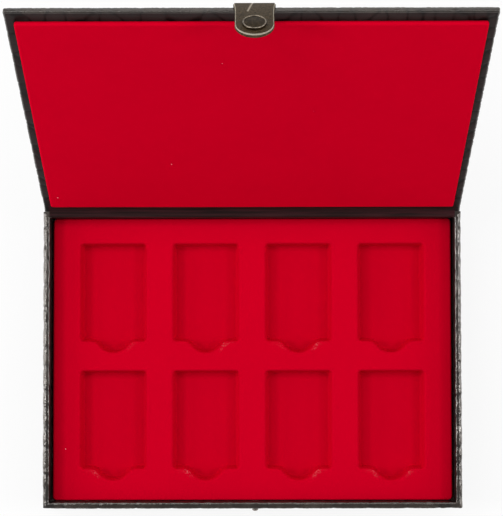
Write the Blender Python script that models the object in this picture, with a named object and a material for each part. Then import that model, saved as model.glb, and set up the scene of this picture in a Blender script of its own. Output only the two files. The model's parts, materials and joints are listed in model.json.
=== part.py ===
"""Display case for eight flip-top petrol lighters, modelled at rest with its lid open. Metres, +Z up.

The case is a box of fibreboard wrapped in embossed leatherette. A flocked tray stands in the base. The lid
bends on a leatherette hinge strip along the rear wall and carries a velvet-covered lining card. A strap on the
lid's front edge closes the case with a press stud. +X is to the right, the front wall faces -Y, and the origin
is the middle of the underside. Everything on the lid is drawn with the lid closed and then hangs on an empty
on the hinge line, which is turned open.
"""

import math

import bmesh
import bpy
from mathutils import Matrix, Vector

MM = 0.001

# Case
CASE_WIDTH = 254 * MM
CASE_DEPTH = 180 * MM
BASE_HEIGHT = 34 * MM
CORNER_RADIUS = 1.0 * MM  # upright corners of the wrapped boxes
FOLDED_CORNER = 0.3 * MM  # inside corners, where the leatherette is only creased
EDGE_RADIUS = 0.9 * MM  # leatherette folded over the edge of a board
SEAT = 0.3 * MM  # glue line between two pieces that lie on each other
OVERRUN = 1 * MM  # how far every cutter runs past what it cuts

# Leatherette and paper
SKIN = 0.5 * MM
SHEET = 0.4 * MM
SHEET_INSET = 3 * MM
TURN_UNDER = 14 * MM  # leatherette turned in below the bottom board
TUCK = 0.8 * MM  # how far the turned-in leatherette reaches below the tray's top
FOLD_HOOK = 0.2 * MM  # how far the wrap reaches round the board at the hinge

# Boards
WALL_BOARD = 2.0 * MM
BOTTOM_BOARD = 2.2 * MM
LID_BOARD = 1.8 * MM

# Tray
TRAY_RECESS = 10.4 * MM  # tray's top below the rim
TRAY_SHELL = 1.0 * MM
TRAY_SIDE_GAP = 1.3 * MM
TRAY_END_GAP = 0.4 * MM
TRAY_CORNER = 2.4 * MM
TRAY_EDGE = 1.2 * MM
SKIRT_FLARE = 0.1 * MM
COLUMN_BAR = 16.5 * MM  # flat bar between two pockets side by side
ROW_BAR = 11.4 * MM  # flat bar between a notch and the pocket in front of it
TRAY_MARGIN = 10 * MM  # least flat margin round the pockets
ROWS_BEHIND_MIDDLE = 1.9 * MM

# Pocket, at the top of its wall
POCKET_WIDTH = 40.3 * MM
POCKET_LENGTH = 59.6 * MM
POCKET_DEPTH = 9 * MM
POCKET_CORNER = 2 * MM
TIGHT_CORNER = 0.4 * MM  # least corner radius, where the walls meet the floor
POCKET_LIP = 1.3 * MM
POCKET_FILLET = 1.2 * MM
POCKET_DRAFT = math.radians(9)
NOTCH_DEPTH = 7.0 * MM
NOTCH_RADIUS = 11.5 * MM
NOTCH_SHOULDER = 6 * MM

# Lid
LID_OPEN = math.radians(120.3)
HINGE_GAP = 0.3 * MM
LID_SIDE_INSET = 0.7 * MM
LID_FRONT_INSET = 0.4 * MM
LID_TURN_IN = 13 * MM
STRIP_END_GAP = 0.6 * MM

# Lid lining
LINING_SIDE_BORDER = 4.9 * MM
LINING_FRONT_BORDER = 6.7 * MM
LINING_HINGE_BORDER = 7.2 * MM
LINING_CARD = 1.2 * MM
VELVET = 0.8 * MM
VELVET_EDGE = 1.4 * MM
LINING_CORNER = 1.6 * MM

# Strap
STRAP_WIDTH = 19.8 * MM
STRAP_MIDDLE = 1.6 * MM  # glued on a little to the right of the middle
STRAP_PLY = 0.5 * MM
ANCHOR_LENGTH = 34 * MM
FOLD_CLEARANCE = 0.3 * MM
BEND_RADIUS = 2.0 * MM
BEND_ANGLE = math.radians(63)
CURL_LENGTH = 32.9 * MM
CURL_ANGLE = math.radians(16)
CAP_FROM_TIP = 10.5 * MM

# Press stud
CAP_RADIUS = 6.1 * MM
CAP_HEIGHT = 2.1 * MM
CAP_SIDE = 0.7 * MM
SOCKET_RADIUS = 5 * MM
SOCKET_NECK_RADIUS = 3.7 * MM
SOCKET_FLANGE = 0.5 * MM
SOCKET_BORE = 2.5 * MM
SOCKET_BACK = 0.4 * MM
SOCKET_CLEARANCE = 0.6 * MM  # from the stud's flange, as the strap lies a little slantwise
HEAD_RADIUS = 1.9 * MM
HEAD_HEIGHT = 1.6 * MM
NECK_RADIUS = 1.7 * MM
STUD_REACH = 3.7 * MM
STUD_FLANGE = 0.4 * MM
STUD_FLANGE_RADIUS = 4 * MM
POST_RADIUS = 1.0 * MM
POST_IN_STUD = 1.4 * MM
RIVET_RADIUS = 2.4 * MM

# Smoothness
CORNER_STEPS = 3
FOLD_STEPS = 3
NOTCH_STEPS = 8
SHOULDER_STEPS = 4
LIP_STEPS = 2
BEND_STEPS = 6
CURL_STEPS = 6
TIP_STEPS = 6
ROUND_STEPS = 32
DOME_STEPS = 5
SHARP_ANGLE = math.radians(35)

# Worked out from the sizes above
WALL = SKIN + SEAT + WALL_BOARD + SEAT + SKIN
HALF_WIDTH = CASE_WIDTH / 2
HALF_DEPTH = CASE_DEPTH / 2
COVER_BOTTOM = SHEET + SEAT
BOARD_BOTTOM = COVER_BOTTOM + SKIN + SEAT
BOARD_TOP = BOARD_BOTTOM + BOTTOM_BOARD
RIM_INSIDE = BASE_HEIGHT - SKIN
TRAY_TOP = BASE_HEIGHT - TRAY_RECESS
TURN_END = TRAY_TOP - TUCK
POCKET_FLOOR = TRAY_TOP - POCKET_DEPTH
TRAY_HALF_WIDTH = HALF_WIDTH - WALL - TRAY_SIDE_GAP
TRAY_HALF_DEPTH = HALF_DEPTH - WALL - TRAY_END_GAP
COLUMN_PITCH = POCKET_WIDTH + COLUMN_BAR
ROW_PITCH = POCKET_LENGTH + NOTCH_DEPTH + ROW_BAR
COLUMNS = int((2 * (TRAY_HALF_WIDTH - TRAY_MARGIN) + COLUMN_BAR) / COLUMN_PITCH)
ROWS = int((2 * (TRAY_HALF_DEPTH - TRAY_MARGIN) + ROW_BAR) / ROW_PITCH)
HINGE = Vector((0, HALF_DEPTH, BASE_HEIGHT + HINGE_GAP / 2))
LID_BOTTOM = BASE_HEIGHT + HINGE_GAP
LID_THICKNESS = SKIN + SEAT + LID_BOARD + SEAT + SKIN
LID_TOP = LID_BOTTOM + LID_THICKNESS
LID_WIDTH = CASE_WIDTH - 2 * LID_SIDE_INSET
LID_FRONT = LID_FRONT_INSET - HALF_DEPTH
LID_LENGTH = HALF_DEPTH - LID_FRONT
STRIP_LENGTH = CASE_WIDTH - 2 * (WALL + STRIP_END_GAP)
LID_MIDDLE = (HALF_DEPTH + LID_FRONT) / 2
STRAP_STACK = STRAP_PLY + SEAT + STRAP_PLY
STRAP_TOP = LID_TOP + SEAT + STRAP_STACK
STRAP_PIVOT = Vector((0, LID_FRONT, STRAP_TOP))
CURL_RADIUS = CURL_LENGTH / CURL_ANGLE
TIP_LENGTH = STRAP_WIDTH / 2
SOCKET_HEIGHT = STUD_REACH - STUD_FLANGE - SOCKET_CLEARANCE + SEAT + SOCKET_BACK
SNAP_STACK = SEAT + STUD_FLANGE + SOCKET_CLEARANCE + SOCKET_HEIGHT + SEAT + STRAP_STACK


def clear_scene():
    for obj in list(bpy.data.objects):
        bpy.data.objects.remove(obj, do_unlink=True)


def material(name, colour, roughness, metallic=0):
    made = bpy.data.materials.new(name)
    made.use_nodes = True
    shader = made.node_tree.nodes["Principled BSDF"]
    shader.inputs["Base Color"].default_value = (*colour, 1)
    shader.inputs["Roughness"].default_value = roughness
    shader.inputs["Metallic"].default_value = metallic
    made.diffuse_color = (*colour, 1)
    return made


def pivot_empty(name, place, parent=None, turn=0):
    """An empty on a joint's axis; place is where the axis lies with the lid closed."""
    empty = bpy.data.objects.new(name, None)
    bpy.context.scene.collection.objects.link(empty)
    empty.location = place
    if parent:
        empty.parent = parent
        empty.location = place - parent.location
    empty.rotation_euler.x = turn
    return empty


def make_object(name, bm, finish, pivot=None):
    """Turns the bmesh, drawn with the lid closed, into a named object that hangs on its joint's empty."""
    bmesh.ops.recalc_face_normals(bm, faces=bm.faces)
    mesh = bpy.data.meshes.new(name)
    bm.to_mesh(mesh)
    bm.free()
    mesh.shade_smooth()
    mesh.set_sharp_from_angle(angle=SHARP_ANGLE)
    mesh.materials.append(finish)
    obj = bpy.data.objects.new(name, mesh)
    bpy.context.scene.collection.objects.link(obj)
    if pivot:
        obj.parent = pivot
        obj.location = -closed_place(pivot)
    return obj


def closed_place(pivot):
    """Where an empty lies with the lid closed."""
    place = Vector(pivot.location)
    if pivot.parent:
        place += closed_place(pivot.parent)
    return place


def cut(obj, cutter):
    """Subtracts the cutter, which rides with the object and stays out of the render."""
    cutter.parent = obj.parent
    cutter.location = obj.location
    cutter.hide_render = True
    cutter.display_type = "WIRE"
    boolean = obj.modifiers.new("cut_" + cutter.name, "BOOLEAN")
    boolean.operation = "DIFFERENCE"
    boolean.solver = "EXACT"
    boolean.object = cutter


def arc(centre, radius, start, end, steps):
    """Points on an arc in the plane, both ends included."""
    points = []
    for step in range(steps + 1):
        angle = start + (end - start) * step / steps
        points.append((centre[0] + radius * math.cos(angle), centre[1] + radius * math.sin(angle)))
    return points


def rounded_rectangle(half_x, half_y, radius, middle_y=0):
    """Outline with round corners, counter-clockwise, starting at the front right corner."""
    quarter = math.pi / 2
    points = []
    for turn, (side_x, side_y) in enumerate(((1, -1), (1, 1), (-1, 1), (-1, -1))):
        centre = (side_x * (half_x - radius), middle_y + side_y * (half_y - radius))
        start = (turn - 1) * quarter
        points += arc(centre, radius, start, start + quarter, CORNER_STEPS)
    return points


def loft(levels, ring=False):
    """Joins outlines of equal count with quads, closed by end faces or, as a ring, back to the first."""
    bm = bmesh.new()
    loops = []
    for level in levels:
        loops.append([bm.verts.new(point) for point in level])
    pairs = list(zip(loops, loops[1:]))
    if ring:
        pairs.append((loops[-1], loops[0]))
    else:
        bm.faces.new(loops[0])
        bm.faces.new(reversed(loops[-1]))
    for low, high in pairs:
        for index in range(len(low)):
            after = (index + 1) % len(low)
            bm.faces.new((low[index], low[after], high[after], high[index]))
    return bm


def wrapped_box(profile, half_x, half_y, middle_y=0, corner=CORNER_RADIUS, ring=False):
    """Carries a profile of (distance in from the outside, height) round a rounded rectangle."""
    levels = []
    for inset, height in profile:
        radius = max(corner - inset, FOLDED_CORNER)
        outline = rounded_rectangle(half_x - inset, half_y - inset, radius, middle_y)
        levels.append([(x, y, height) for x, y in outline])
    return loft(levels, ring)


def block(low, high):
    """A plain board, from its lowest to its highest corner."""
    outline = ((low[0], low[1]), (high[0], low[1]), (high[0], high[1]), (low[0], high[1]))
    return loft([[(x, y, height) for x, y in outline] for height in (low[2], high[2])])


def extruded(section, half_length):
    """Carries a section of (y, z) points along X."""
    levels = []
    for x in (-half_length, half_length):
        levels.append([(x, y, z) for y, z in section])
    return loft(levels)


def turned(profile, steps=ROUND_STEPS):
    """Revolves a closed profile of (radius, height) about Z; a profile may start and end on the axis."""
    bm = bmesh.new()
    wires = []
    for radius, height in profile:
        if radius == 0:
            wires.append([bm.verts.new((0, 0, height))])
            continue
        circle = []
        for step in range(steps):
            angle = 2 * math.pi * step / steps
            circle.append(bm.verts.new((radius * math.cos(angle), radius * math.sin(angle), height)))
        wires.append(circle)
    pairs = list(zip(wires, wires[1:]))
    if profile[0][0] != 0:
        pairs.append((wires[-1], wires[0]))
    for low, high in pairs:
        for step in range(steps):
            after = (step + 1) % steps
            corners = [low[step % len(low)], low[after % len(low)], high[after % len(high)], high[step % len(high)]]
            bm.faces.new(list(dict.fromkeys(corners)))
    return bm


def facing_front(height):
    """Puts a turned piece on the front wall, below the strap, its axis pointing out of the wall."""
    return Matrix.Translation((STRAP_MIDDLE, -HALF_DEPTH, height)) @ Matrix.Rotation(math.pi / 2, 4, "X")


def fold_profile(outer, inner, radius):
    """Quarter-round from one direction to another, as (inset, height) points between two corners."""
    (inset_a, height_a), (inset_b, height_b) = outer, inner
    points = []
    for step in range(FOLD_STEPS + 1):
        angle = math.pi / 2 * step / FOLD_STEPS
        points.append(
            (
                inset_a + (inset_b - inset_a) * (1 - math.cos(angle)),
                height_a + (height_b - height_a) * math.sin(angle),
            )
        )
    return points


def underside_sheet(finish):
    half_x, half_y = HALF_WIDTH - SHEET_INSET, HALF_DEPTH - SHEET_INSET
    return make_object("underside_sheet", wrapped_box(((0, 0), (0, SHEET)), half_x, half_y), finish)


def bottom_board(finish):
    inset = SKIN + SEAT
    low = (inset - HALF_WIDTH, inset - HALF_DEPTH, BOARD_BOTTOM)
    return make_object("bottom_board", block(low, (-low[0], -low[1], BOARD_TOP)), finish)


def wall_boards(finish):
    """Front and rear boards run the full width; the side boards stand between them."""
    outer_x, outer_y = HALF_WIDTH - SKIN - SEAT, HALF_DEPTH - SKIN - SEAT
    inner_x, inner_y = outer_x - WALL_BOARD, outer_y - WALL_BOARD
    low, high = BOARD_TOP + SEAT, RIM_INSIDE - SEAT
    side_y = inner_y - SEAT
    front = make_object("front_wall_board", block((-outer_x, -outer_y, low), (outer_x, -inner_y, high)), finish)
    make_object("rear_wall_board", block((-outer_x, inner_y, low), (outer_x, outer_y, high)), finish)
    make_object("left_wall_board", block((-outer_x, -side_y, low), (-inner_x, side_y, high)), finish)
    make_object("right_wall_board", block((inner_x, -side_y, low), (outer_x, side_y, high)), finish)
    cut(front, post_hole("front_board_post_hole"))


def base_cover(finish):
    """Leatherette up the outside, over the rim, down to the tray, and turned in below the bottom board."""
    inside_out, inside_in = SKIN, WALL - SKIN
    profile = [(TURN_UNDER, COVER_BOTTOM)]
    profile += reversed(fold_profile((0, COVER_BOTTOM + EDGE_RADIUS), (EDGE_RADIUS, COVER_BOTTOM), EDGE_RADIUS))
    profile += fold_profile((0, BASE_HEIGHT - EDGE_RADIUS), (EDGE_RADIUS, BASE_HEIGHT), EDGE_RADIUS)
    profile += reversed(
        fold_profile((WALL, BASE_HEIGHT - EDGE_RADIUS), (WALL - EDGE_RADIUS, BASE_HEIGHT), EDGE_RADIUS)
    )
    profile += [(WALL, TURN_END), (inside_in, TURN_END)]
    profile += [(inside_in, RIM_INSIDE), (inside_out, RIM_INSIDE)]
    profile += [(inside_out, COVER_BOTTOM + SKIN), (TURN_UNDER, COVER_BOTTOM + SKIN)]
    cover = make_object("base_cover", wrapped_box(profile, HALF_WIDTH, HALF_DEPTH, ring=True), finish)
    cut(cover, rear_rim_cutter())
    cut(cover, post_hole("cover_post_hole"))
    cut(cover, rivet_recess())
    return cover


def rear_rim_cutter():
    """Takes the turned-in leatherette off the rear wall, where the hinge strip lies instead."""
    half_x = STRIP_LENGTH / 2 + SEAT
    low = (-half_x, HALF_DEPTH - WALL - OVERRUN, TURN_END - OVERRUN)
    high = (half_x, HALF_DEPTH - SKIN - FOLD_HOOK, BASE_HEIGHT + OVERRUN)
    return make_object("rear_rim_cutter", block(low, high), None)


def hinge_strip_base_leaf(finish):
    """The hinge strip's lower half: over the rear rim and down inside the rear wall."""
    outer, inner = HALF_DEPTH - SKIN - FOLD_HOOK - SEAT, HALF_DEPTH - WALL
    section = [(inner + SKIN, RIM_INSIDE), (inner + SKIN, TURN_END), (inner, TURN_END)]
    fold = fold_profile((inner, BASE_HEIGHT - EDGE_RADIUS), (inner + EDGE_RADIUS, BASE_HEIGHT), EDGE_RADIUS)
    section += fold + [(outer, BASE_HEIGHT), (outer, RIM_INSIDE)]
    return make_object("hinge_strip_base_leaf", extruded(section, STRIP_LENGTH / 2), finish)


def pocket_outline(column, row, inset):
    """The pocket's outline, drawn in by inset, with the S-curved finger notch in its front edge."""
    middle_x = (column - (COLUMNS - 1) / 2) * COLUMN_PITCH
    middle_y = ROWS_BEHIND_MIDDLE + (row - (ROWS - 1) / 2) * ROW_PITCH
    front = middle_y - POCKET_LENGTH / 2
    notch_y = front - NOTCH_DEPTH + NOTCH_RADIUS
    shoulder_y = front - NOTCH_SHOULDER
    shoulder_x = math.sqrt((NOTCH_RADIUS + NOTCH_SHOULDER) ** 2 - (notch_y - shoulder_y) ** 2)
    lean = math.atan2(notch_y - shoulder_y, shoulder_x)
    quarter = math.pi / 2
    corner = max(POCKET_CORNER - inset, TIGHT_CORNER)
    corner_x = POCKET_WIDTH / 2 - inset - corner
    corner_y = POCKET_LENGTH / 2 - inset - corner
    points = arc((middle_x + corner_x, middle_y - corner_y), corner, -quarter, 0, CORNER_STEPS)
    points += arc((middle_x + corner_x, middle_y + corner_y), corner, 0, quarter, CORNER_STEPS)
    points += arc((middle_x - corner_x, middle_y + corner_y), corner, quarter, 2 * quarter, CORNER_STEPS)
    points += arc((middle_x - corner_x, middle_y - corner_y), corner, 2 * quarter, 3 * quarter, CORNER_STEPS)
    shoulder = NOTCH_SHOULDER + inset
    left = arc((middle_x - shoulder_x, shoulder_y), shoulder, quarter, lean, SHOULDER_STEPS)
    notch = arc((middle_x, notch_y), NOTCH_RADIUS - inset, math.pi + lean, 2 * math.pi - lean, NOTCH_STEPS)
    right = arc((middle_x + shoulder_x, shoulder_y), shoulder, math.pi - lean, quarter, SHOULDER_STEPS)
    return points + left[:-1] + notch + right[1:]


def pocket_levels():
    """(inset, height) from the tray's top, round the lip, down the drafted wall and into the floor."""
    levels = []
    for step in range(LIP_STEPS + 1):
        angle = math.pi / 2 * step / LIP_STEPS
        levels.append((-POCKET_LIP * (1 - math.sin(angle)), TRAY_TOP - POCKET_LIP * (1 - math.cos(angle))))
    wall = POCKET_DEPTH - POCKET_LIP - POCKET_FILLET
    inset = wall * math.tan(POCKET_DRAFT)
    for step in range(LIP_STEPS + 1):
        angle = math.pi / 2 * step / LIP_STEPS
        levels.append(
            (
                inset + POCKET_FILLET * (1 - math.cos(angle)),
                POCKET_FLOOR + POCKET_FILLET * (1 - math.sin(angle)),
            )
        )
    return levels


def add_band(bm, above, below):
    for index in range(len(above)):
        after = (index + 1) % len(above)
        bm.faces.new((above[index], above[after], below[after], below[index]))


def add_loop(bm, outline, height):
    return [bm.verts.new((x, y, height)) for x, y in outline]


def loop_edges(bm, loop):
    return [bm.edges.new((loop[index - 1], loop[index])) for index in range(len(loop))]


def flocked_tray(finish):
    """One thermoformed sheet: flat top, eight notched pockets, and a skirt down to the bottom board."""
    bm = bmesh.new()
    half_x, half_y = TRAY_HALF_WIDTH, TRAY_HALF_DEPTH
    rings = []
    for step in range(FOLD_STEPS + 1):
        angle = math.pi / 2 * step / FOLD_STEPS
        inset = TRAY_EDGE * (1 - math.sin(angle))
        outline = rounded_rectangle(half_x - inset, half_y - inset, TRAY_CORNER - inset)
        rings.append(add_loop(bm, outline, TRAY_TOP - TRAY_EDGE * (1 - math.cos(angle))))
    foot = rounded_rectangle(half_x + SKIRT_FLARE, half_y + SKIRT_FLARE, TRAY_CORNER + SKIRT_FLARE)
    rings.append(add_loop(bm, foot, BOARD_TOP + SEAT))
    for above, below in zip(rings, rings[1:]):
        add_band(bm, above, below)
    edges = list({edge for vert in rings[0] for edge in vert.link_edges if edge.is_boundary})
    for column in range(COLUMNS):
        for row in range(ROWS):
            loops = [add_loop(bm, pocket_outline(column, row, inset), z) for inset, z in pocket_levels()]
            edges += loop_edges(bm, loops[0])
            for above, below in zip(loops, loops[1:]):
                add_band(bm, above, below)
            bm.faces.new(loops[-1])
    bmesh.ops.triangle_fill(bm, use_beauty=True, use_dissolve=False, edges=edges)
    tray = make_object("flocked_tray", bm, finish)
    shell = tray.modifiers.new("shell", "SOLIDIFY")
    shell.thickness = TRAY_SHELL
    shell.offset = -1
    shell.use_even_offset = True
    return tray


def lid_cover(finish):
    """Leatherette over the outside of the lid board, round its edges and turned in inside."""
    inside = LID_BOTTOM + SKIN
    profile = list(reversed(fold_profile((0, LID_TOP - EDGE_RADIUS), (EDGE_RADIUS, LID_TOP), EDGE_RADIUS)))
    profile += fold_profile((0, LID_BOTTOM + EDGE_RADIUS), (EDGE_RADIUS, LID_BOTTOM), EDGE_RADIUS)
    profile += [(LID_TURN_IN, LID_BOTTOM), (LID_TURN_IN, inside), (SKIN, inside), (SKIN, LID_TOP - SKIN)]
    cover = make_object(
        "lid_cover", wrapped_box(profile, LID_WIDTH / 2, LID_LENGTH / 2, LID_MIDDLE), finish, LID_EMPTY
    )
    half_x = STRIP_LENGTH / 2 + SEAT
    low = (-half_x, HALF_DEPTH - LID_TURN_IN - OVERRUN, LID_BOTTOM - OVERRUN)
    high = (half_x, HALF_DEPTH - SKIN - FOLD_HOOK, LID_BOTTOM + SKIN + SEAT / 2)
    cut(cover, make_object("lid_border_cutter", block(low, high), None, LID_EMPTY))


def lid_board(finish):
    half_x, half_y = LID_WIDTH / 2 - SKIN - SEAT, LID_LENGTH / 2 - SKIN - SEAT
    low = LID_BOTTOM + SKIN + SEAT
    plate = block((-half_x, LID_MIDDLE - half_y, low), (half_x, LID_MIDDLE + half_y, low + LID_BOARD))
    return make_object("lid_board", plate, finish, LID_EMPTY)


def hinge_strip_lid_leaf(finish):
    """The hinge strip's upper half, on the lid's inner face beside the fold."""
    near, far = HALF_DEPTH - SKIN - FOLD_HOOK - SEAT, HALF_DEPTH - LID_TURN_IN - OVERRUN + SEAT
    top = LID_BOTTOM + SKIN
    section = [(far, LID_BOTTOM), (near - SKIN / 2, LID_BOTTOM), (near, LID_BOTTOM + SKIN / 2), (near, top)]
    section += [(far, top)]
    return make_object("hinge_strip_lid_leaf", extruded(section, STRIP_LENGTH / 2), finish, LID_EMPTY)


def lining_place():
    """Half width, half depth and middle of the lining panel, from the borders that show round it."""
    half_x = LID_WIDTH / 2 - LINING_SIDE_BORDER
    rear, front = HALF_DEPTH - LINING_HINGE_BORDER, LID_FRONT + LINING_FRONT_BORDER
    return half_x, (rear - front) / 2, (rear + front) / 2


def lining_card(finish):
    half_x, half_y, middle = lining_place()
    inset = VELVET + SEAT
    top = LID_BOTTOM - SEAT
    profile = ((inset, top), (inset, top - LINING_CARD))
    card = wrapped_box(profile, half_x, half_y, middle, LINING_CORNER)
    return make_object("lining_card", card, finish, LID_EMPTY)


def lining_velvet(finish):
    """Velvet drawn over the card and down its edges, soft at the fold."""
    half_x, half_y, middle = lining_place()
    top = LID_BOTTOM - SEAT
    inside = top - LINING_CARD - SEAT
    face = inside - VELVET
    profile = [(VELVET, inside), (VELVET, top), (0, top)]
    profile += fold_profile((0, face + VELVET_EDGE), (VELVET_EDGE, face), VELVET_EDGE)
    velvet = wrapped_box(profile, half_x, half_y, middle, LINING_CORNER)
    return make_object("lining_velvet", velvet, finish, LID_EMPTY)


def strap_anchor(finish):
    """The strap's root, glued on the outside of the lid, with a round end."""
    half = STRAP_WIDTH / 2
    outline = [(STRAP_MIDDLE - half, LID_FRONT), (STRAP_MIDDLE + half, LID_FRONT)]
    outline += arc((STRAP_MIDDLE, LID_FRONT + ANCHOR_LENGTH - half), half, 0, math.pi, 2 * TIP_STEPS)
    levels = [[(x, y, height) for x, y in outline] for height in (LID_TOP + SEAT, STRAP_TOP)]
    return make_object("strap_anchor", loft(levels), finish, LID_EMPTY)


def strap_station(along):
    """Point and heading of the strap's outer face, along being the length from the fold.

    The point is (out from the lid's front edge, up from the strap's outer face at the fold), and the heading is
    the angle that the strap has turned down through."""
    bend_length = BEND_RADIUS * BEND_ANGLE
    if along <= bend_length:
        angle = along / BEND_RADIUS
        out = FOLD_CLEARANCE + BEND_RADIUS * math.sin(angle)
        return out, -BEND_RADIUS * (1 - math.cos(angle)), angle
    out, up, _ = strap_station(bend_length)
    angle = BEND_ANGLE + (along - bend_length) / CURL_RADIUS
    out += CURL_RADIUS * (math.sin(angle) - math.sin(BEND_ANGLE))
    up -= CURL_RADIUS * (math.cos(BEND_ANGLE) - math.cos(angle))
    return out, up, angle


def strap_point(along, depth):
    """The (y, z) of a point this deep below the strap's outer face."""
    out, up, angle = strap_station(along)
    out -= depth * math.sin(angle)
    up -= depth * math.cos(angle)
    return LID_FRONT - out, STRAP_TOP + up


def strap_stations():
    """(length from the fold, half width) from the fold to the round tip."""
    bend_length = BEND_RADIUS * BEND_ANGLE
    straight_end = bend_length + CURL_LENGTH - TIP_LENGTH
    half = STRAP_WIDTH / 2
    stations = [(bend_length * step / BEND_STEPS, half) for step in range(BEND_STEPS)]
    for step in range(CURL_STEPS):
        stations.append((bend_length + (straight_end - bend_length) * step / CURL_STEPS, half))
    for step in range(TIP_STEPS):
        angle = math.pi / 2 * step / TIP_STEPS
        stations.append((straight_end + TIP_LENGTH * math.sin(angle), half * math.cos(angle)))
    last = math.pi / 2 * (1 - 1 / (3 * TIP_STEPS))
    stations.append((straight_end + TIP_LENGTH * math.sin(last), half * math.cos(last)))
    return stations


def strap_ply(name, finish, depth):
    """One ply of the free strap, swept along the bend and the curl."""
    levels = []
    for along, half in strap_stations():
        outer, inner = strap_point(along, depth), strap_point(along, depth + STRAP_PLY)
        left, right = STRAP_MIDDLE - half, STRAP_MIDDLE + half
        levels.append([(left, *outer), (right, *outer), (right, *inner), (left, *inner)])
    ply = make_object(name, loft(levels), finish, STRAP_EMPTY)
    hole = turned(((0, -STRAP_STACK - OVERRUN), (POST_RADIUS + SEAT, -STRAP_STACK - OVERRUN),
                   (POST_RADIUS + SEAT, OVERRUN), (0, OVERRUN)))
    hole.transform(snap_matrix())
    cut(ply, make_object(name + "_hole", hole, None, STRAP_EMPTY))


def cap_along():
    """Length from the fold to the snap's axis."""
    return BEND_RADIUS * BEND_ANGLE + CURL_LENGTH - CAP_FROM_TIP


def snap_matrix():
    """Puts a turned piece on the strap's outer face, its axis square to the strap."""
    _, _, angle = strap_station(cap_along())
    place = Matrix.Translation((STRAP_MIDDLE, *strap_point(cap_along(), 0)))
    return place @ Matrix.Rotation(angle, 4, "X")


def snap_cap(finish):
    """Domed cap on the strap's outer face, with the post that is riveted into the socket."""
    post_end = -STRAP_STACK - SEAT - SOCKET_BACK / 2
    profile = [(0, post_end), (POST_RADIUS, post_end), (POST_RADIUS, SEAT), (CAP_RADIUS, SEAT)]
    for step in range(DOME_STEPS + 1):
        angle = math.pi / 2 * step / DOME_STEPS
        radius = CAP_RADIUS * math.cos(angle) if step < DOME_STEPS else 0
        profile.append((radius, SEAT + CAP_SIDE + (CAP_HEIGHT - CAP_SIDE) * math.sin(angle)))
    cap = turned(profile)
    cap.transform(snap_matrix())
    return make_object("snap_cap", cap, finish, STRAP_EMPTY)


def snap_socket(finish):
    """Flanged socket on the strap's inner face, open towards the stud."""
    back = -STRAP_STACK - SEAT
    mouth = back - SOCKET_HEIGHT
    profile = [(POST_RADIUS + SEAT, back), (POST_RADIUS + SEAT, back - SOCKET_BACK)]
    profile += [(SOCKET_BORE, back - SOCKET_BACK), (SOCKET_BORE, mouth)]
    profile += [(SOCKET_NECK_RADIUS, mouth), (SOCKET_NECK_RADIUS, back - SOCKET_FLANGE)]
    profile += [(SOCKET_RADIUS, back - SOCKET_FLANGE), (SOCKET_RADIUS, back)]
    socket = turned(profile)
    socket.transform(snap_matrix())
    return make_object("snap_socket", socket, finish, STRAP_EMPTY)


def snapped_swing():
    """How far the strap swings in from rest until the socket sits on the stud."""
    out, up, _ = strap_station(cap_along())
    reach = math.hypot(out, up)
    wanted = LID_FRONT + HALF_DEPTH + SNAP_STACK
    return math.atan2(out, -up) - math.asin(wanted / reach)


def stud_height():
    """Where the socket's bore meets the front wall with the lid closed and the strap pressed home."""
    out, up, angle = strap_station(cap_along())
    swing = snapped_swing()
    depth = STRAP_STACK + SEAT + SOCKET_HEIGHT / 2
    out -= depth * math.sin(angle)
    up -= depth * math.cos(angle)
    return STRAP_TOP + up * math.cos(swing) - out * math.sin(swing)


def snap_stud(finish):
    """Stud on the front wall: a flange, a neck and a round head, hollow for the rivet's post."""
    flange_top = SEAT + STUD_FLANGE
    neck_top = STUD_REACH - HEAD_HEIGHT
    bore = POST_RADIUS + SEAT
    bore_end = SEAT + POST_IN_STUD + SEAT
    profile = [(0, bore_end), (bore, bore_end), (bore, SEAT), (STUD_FLANGE_RADIUS, SEAT)]
    profile += [(STUD_FLANGE_RADIUS, flange_top), (NECK_RADIUS, flange_top), (NECK_RADIUS, neck_top)]
    for step in range(DOME_STEPS + 1):
        angle = math.pi / 2 * step / DOME_STEPS
        radius = HEAD_RADIUS * math.cos(angle) if step < DOME_STEPS else 0
        profile.append((radius, neck_top + HEAD_HEIGHT / 2 * (1 + math.sin(angle))))
    stud = turned(profile)
    stud.transform(facing_front(stud_height()))
    return make_object("snap_stud", stud, finish)


def stud_rivet(finish):
    """Rivet behind the front wall board, its post set into the stud."""
    seat = -(SKIN + SEAT + WALL_BOARD + SEAT)
    post_end = SEAT + POST_IN_STUD
    profile = [(0, seat - SKIN), (RIVET_RADIUS, seat - SKIN), (RIVET_RADIUS, seat), (POST_RADIUS, seat)]
    profile += [(POST_RADIUS, post_end), (0, post_end)]
    rivet = turned(profile)
    rivet.transform(facing_front(stud_height()))
    return make_object("stud_rivet", rivet, finish)


def post_hole(name):
    """Cutter for the stud's post, through the front wall."""
    deep = -(SKIN + SEAT + WALL_BOARD + SEAT)
    hole = POST_RADIUS + SEAT
    cutter = turned(((0, deep), (hole, deep), (hole, OVERRUN), (0, OVERRUN)))
    cutter.transform(facing_front(stud_height()))
    return make_object(name, cutter, None)


def rivet_recess():
    """Cutter that keeps the turned-in leatherette clear of the rivet's flange."""
    near = -(SKIN + SEAT + WALL_BOARD)
    wide = RIVET_RADIUS + SEAT
    cutter = turned(((0, near - WALL), (wide, near - WALL), (wide, near), (0, near)))
    cutter.transform(facing_front(stud_height()))
    return make_object("rivet_recess", cutter, None)


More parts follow.
